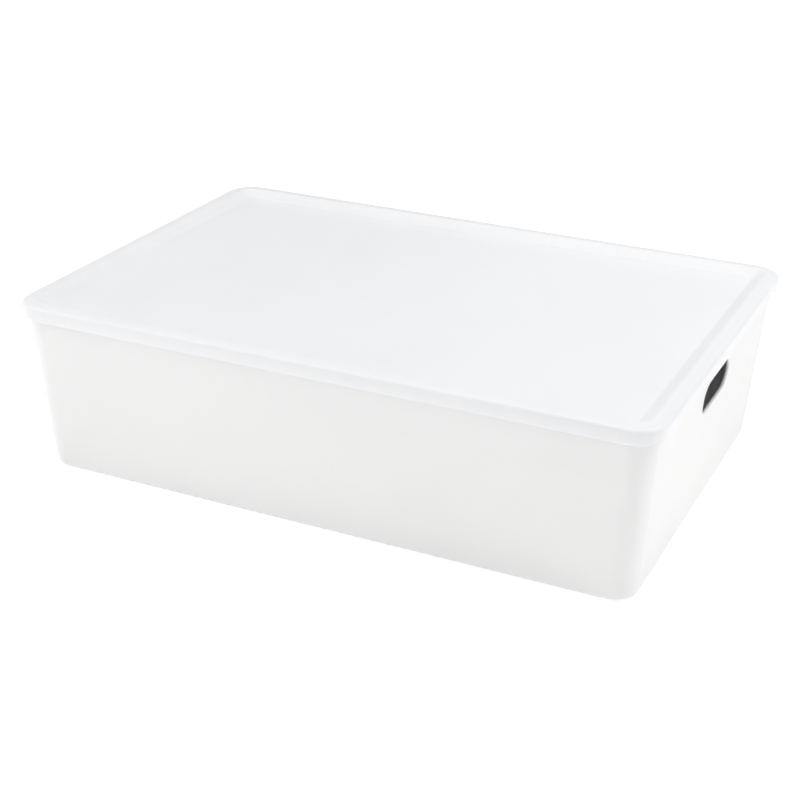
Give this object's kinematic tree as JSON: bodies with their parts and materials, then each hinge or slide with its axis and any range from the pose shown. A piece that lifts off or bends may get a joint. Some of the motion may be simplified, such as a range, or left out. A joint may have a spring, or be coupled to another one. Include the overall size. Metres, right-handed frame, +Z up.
{
  "type": "stacking plastic crate",
  "caption": "Low rectangular moulded storage crate with drafted walls, a hand slot in each short wall and a lift-off lid whose raised rim and recessed panel let crates stack.",
  "frame": {"origin": "centre of the footprint, on the plane of the foot ring that the crate stands on", "axes": "+X along the long side, towards one of the two hand slots; +Y along the short side; +Z up, the way the lid lifts off"},
  "size_m": [0.59, 0.4014, 0.1612],
  "materials": {
    "crate_plastic": "satin white polypropylene with a fine moulded texture",
    "lid_plastic": "satin white polypropylene with a fine moulded texture"
  },
  "bodies": {
    "crate": {"crate_body": "crate_plastic"},
    "lid": {"lid": "lid_plastic"}
  },
  "joints": [
    {"name": "lid_lift", "type": "slide", "parent": "crate", "child": "lid", "axis": [0, 0, 1], "range_m": [0, 0.2]}
  ]
}
